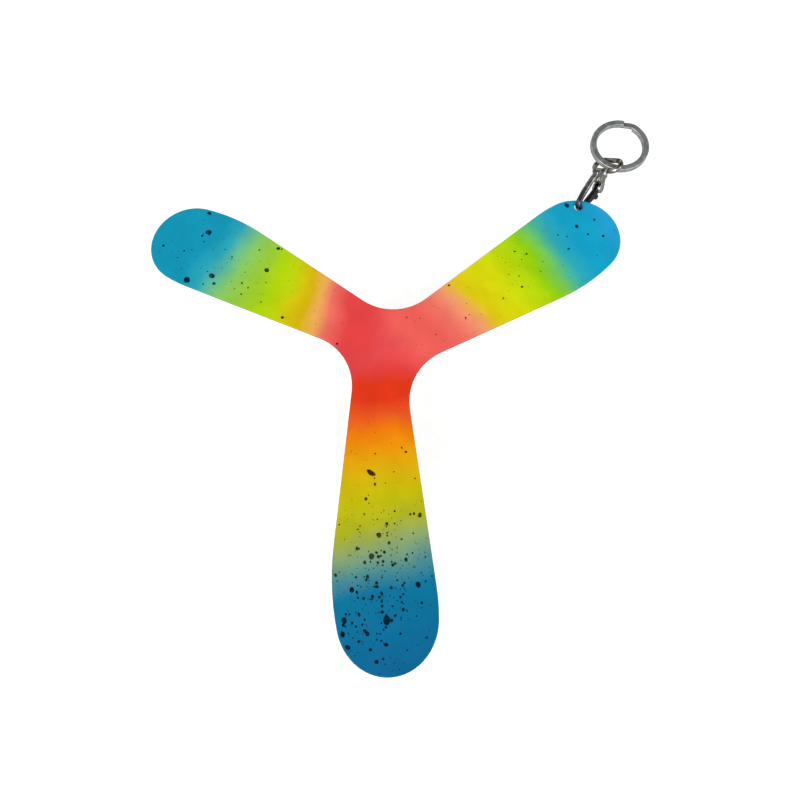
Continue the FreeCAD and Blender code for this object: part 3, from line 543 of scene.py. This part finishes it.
def make_spatter(blade, material):
    """Every drop of dark paint on the blade's top, in one piece that rides with the blade."""
    chance = random.Random(5)
    mesh = bmesh.new()
    add_large_drops(mesh, blade, chance)
    for burst in BURSTS:
        add_burst(mesh, blade, chance, burst)
    data = bpy.data.meshes.new("paint_spatter")
    mesh.to_mesh(data)
    mesh.free()
    data.shade_smooth()
    data.materials.append(material)
    spatter = bpy.data.objects.new("paint_spatter", data)
    bpy.context.scene.collection.objects.link(spatter)
    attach(spatter, "blade")


def make_spatter_paint():
    """Near-black paint that lets a little of the colour below it through."""
    shader = Shader("spatter_paint")
    below, _ = top_paint(shader)
    thin = shader.ease(shader.noise(0.6, 3), 0.35, 0.7, 0.02, 0.2)
    shader.set(Base_Color=shader.vector("SCALE", below, scale=thin))
    shader.set(Roughness=shader.ease(shader.noise(0.5, 2), 0.3, 0.7, 0.28, 0.45))
    shader.set(Specular_IOR_Level=SHEEN)
    shader.bump(shader.noise(0.2, 2), 0.006)
    return shader.material


# ---------------------------------------------------------------- metals

def make_metal(name, bare_spot=None):
    """Metal with cloudy tarnish, fine streaks, small pits and rubbed edges.

    Round bare_spot, a point in millimetres, the plating has rubbed through to darker metal.
    """
    bright, dark, (smooth, dull), line_depth, worn = METALS[name]
    shader = Shader(name)
    cloud = shader.ease(shader.noise(1.6, 4), 0.35, 0.65)
    line = shader.noise(1.0, 3, shader.stretched(0.12, 1.8))
    pits = shader.specks(0.35, 0.12, 0.22)
    rubbed = shader.math("MULTIPLY", shader.edges(0.18), worn)
    colour = shader.mix(cloud, linear(dark), linear(bright))
    grimed = shader.math("MULTIPLY", shader.ease(line, 0.35, 0.65), 0.35)
    colour = shader.mix(grimed, colour, linear(dark))
    colour = shader.mix(shader.math("MULTIPLY", pits, 0.5), colour, linear(PIT))
    colour = shader.mix(rubbed, colour, linear(RUBBED))
    if bare_spot is not None:
        distance = shader.vector("DISTANCE", shader.place, bare_spot)
        bare = shader.ease(shader.math("ADD", distance, cloud), *BARE_REACH, 0.85, 0.0)
        colour = shader.mix(bare, colour, linear(UNPLATED))
    shader.set(Base_Color=colour, Metallic=1.0)
    finish = shader.ease(shader.noise(0.7, 4), 0.3, 0.7, smooth, dull)
    shader.set(Roughness=shader.math("SUBTRACT", finish, shader.math("MULTIPLY", rubbed, smooth / 2)))
    height = shader.math("SUBTRACT", line, shader.math("MULTIPLY", pits, 0.6))
    shader.bump(height, line_depth)
    return shader.material


def dress(node, material):
    """Give a CAD node one material for its whole surface."""
    slots = frame["nodes"][node].data.materials
    slots.clear()
    slots.append(material)


def dress_metals():
    """Each metal piece's own finish."""
    hook = Vector(find_joint("claw_swing")["pos_m"]) / MM
    chrome = make_metal("worn_chrome", bare_spot=hook)
    for node, material in (
        ("claw_body", chrome),
        ("gate_rivet", chrome),
        ("swivel_eye", make_metal("yellowed_chrome")),
        ("gate_lever", make_metal("dark_gate_steel")),
        ("key_ring", make_metal("rubbed_nickel")),
    ):
        dress(node, material)
    make_sprung_coil(make_metal("drawn_spring_wire"))


def make_sprung_coil(material):
    """The gate's spring as a piece of its own in spring-wire finish, riding with the claw in place of
    the CAD spring.
    """
    solid = frame["nodes"]["gate_spring"]
    coil = bpy.data.objects.new("sprung_coil", solid.data.copy())
    bpy.context.scene.collection.objects.link(coil)
    coil.data.materials.clear()
    coil.data.materials.append(material)
    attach(coil, "claw")
    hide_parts("gate_spring")
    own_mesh(coil)


# ---------------------------------------------------------------- studio

def lowest_reach():
    """Height of the lowest point that the clasp and ring can swing down to."""
    pivot = Vector(find_joint("claw_swing")["pos_m"])
    lo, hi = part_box("key_ring")
    corners = [Vector(corner) for corner in itertools.product(*zip(lo, hi))]
    return pivot.z - max((corner - pivot).length for corner in corners)


def make_floor():
    """Plain pale floor, low enough for the clasp to hang down over the blade's edge."""
    height = lowest_reach() - 2 * MM
    corners = [(FLOOR_HALF * x, FLOOR_HALF * y, height) for x, y in ((-1, -1), (1, -1), (1, 1), (-1, 1))]
    data = bpy.data.meshes.new("floor")
    data.from_pydata(corners, [], [(0, 1, 2, 3)])
    shader = Shader("pale_floor")
    grain = shader.ease(shader.noise(6, 3), 0.3, 0.7)
    pale = shader.mix(grain, *(grey(level) for level in FLOOR_GREYS))
    # Reflections see a grey floor, so that chrome keeps dark outlines against the white.
    is_reflection = shader.node("ShaderNodeLightPath").outputs["Is Glossy Ray"]
    shader.set(Base_Color=shader.mix(is_reflection, pale, grey(FLOOR_REFLECTED)))
    shader.set(Roughness=0.9, Specular_IOR_Level=0.1)
    data.materials.append(shader.material)
    floor = bpy.data.objects.new("floor", data)
    bpy.context.scene.collection.objects.link(floor)


def sky_direction(azimuth, elevation):
    """Unit vector towards a place in the sky. Azimuth is counter-clockwise from +X, in degrees."""
    a, e = math.radians(azimuth), math.radians(elevation)
    return Vector((math.cos(a) * math.cos(e), math.sin(a) * math.cos(e), math.sin(e)))


def add_sun(name, azimuth, elevation, spread, strength):
    """Soft light from a wide disc of sky, spread degrees across."""
    data = bpy.data.lights.new(name, "SUN")
    data.angle = math.radians(spread)
    data.energy = strength
    light = bpy.data.objects.new(name, data)
    light.rotation_euler = sky_direction(azimuth, elevation).to_track_quat("Z", "Y").to_euler()
    bpy.context.scene.collection.objects.link(light)


def make_world(level):
    """White surround that lights everything evenly, with a dark screen that only reflections see.

    The screen stands where the blade's top would mirror the room to the camera, so the paint
    keeps its full colour, and it gives the chrome something dark to show.
    """
    world = bpy.data.worlds.new("studio")
    world.use_nodes = True
    bpy.context.scene.world = world
    studio = Shader.of_tree(world.node_tree)
    direction = studio.node("ShaderNodeTexCoord").outputs["Generated"]
    nearness = studio.vector("DOT_PRODUCT", direction, sky_direction(*SCREEN_MIDDLE))
    open_sky = studio.ease(nearness, *SCREEN_FADE, 1.0, SCREEN_LEVEL)
    height = studio.vector("DOT_PRODUCT", direction, (0, 0, 1))
    low_wall = studio.ease(height, 0.05, 0.3, 0.25, 1.0)
    room = studio.math("MULTIPLY", open_sky, low_wall)
    is_reflection = studio.node("ShaderNodeLightPath").outputs["Is Glossy Ray"]
    is_camera = studio.node("ShaderNodeLightPath").outputs["Is Camera Ray"]
    light = studio.mix(is_reflection, grey(level), room)
    background = studio.tree.nodes["Background"].inputs["Color"]
    studio.feed(background, studio.mix(is_camera, light, grey(1)))


def shift_lens(camera, index, amount):
    """Shift the lens along x (0) or y (1) while the camera stands in its own place.

    A camera that is moved elsewhere is centred again.
    """
    curve = camera.data.driver_add(("shift_x", "shift_y")[index])
    height = curve.driver.variables.new()
    height.name = "height"
    height.targets[0].id = camera
    height.targets[0].data_path = "location.z"
    curve.driver.type = "SCRIPTED"
    curve.driver.expression = f"{amount} if abs(height - {camera.location.z:.6f}) < 0.00001 else 0"


def make_camera():
    """Camera above the hub, tipped towards the viewer, with a shifted lens as in a cropped picture."""
    turn = Matrix.Identity(3)
    for angle, axis in zip(CAMERA_TURNS, "ZXZ"):
        turn = turn @ Matrix.Rotation(math.radians(angle), 3, axis)
    data = bpy.data.cameras.new("camera")
    data.sensor_width = 36.0
    data.lens = LENS
    data.clip_start = 0.01
    camera = bpy.data.objects.new("camera", data)
    camera.matrix_world = turn.to_4x4()
    camera.location = turn @ Vector(CAMERA_PLACE) * MM
    bpy.context.scene.collection.objects.link(camera)
    bpy.context.scene.camera = camera
    for index, amount in enumerate(LENS_SHIFT):
        shift_lens(camera, index, amount)


def make_studio():
    """Floor, surround, two soft lights and the camera."""
    make_floor()
    make_world(0.68 * EXPOSURE)
    add_sun("key", 235, 48, 45, 1.25 * EXPOSURE)
    add_sun("fill", 330, 40, 60, 0.40 * EXPOSURE)
    bpy.context.scene.view_settings.view_transform = "Standard"
    make_camera()


dress("blade", make_blade_paint())
make_spatter(frame["nodes"]["blade"], make_spatter_paint())
dress_metals()
make_studio()
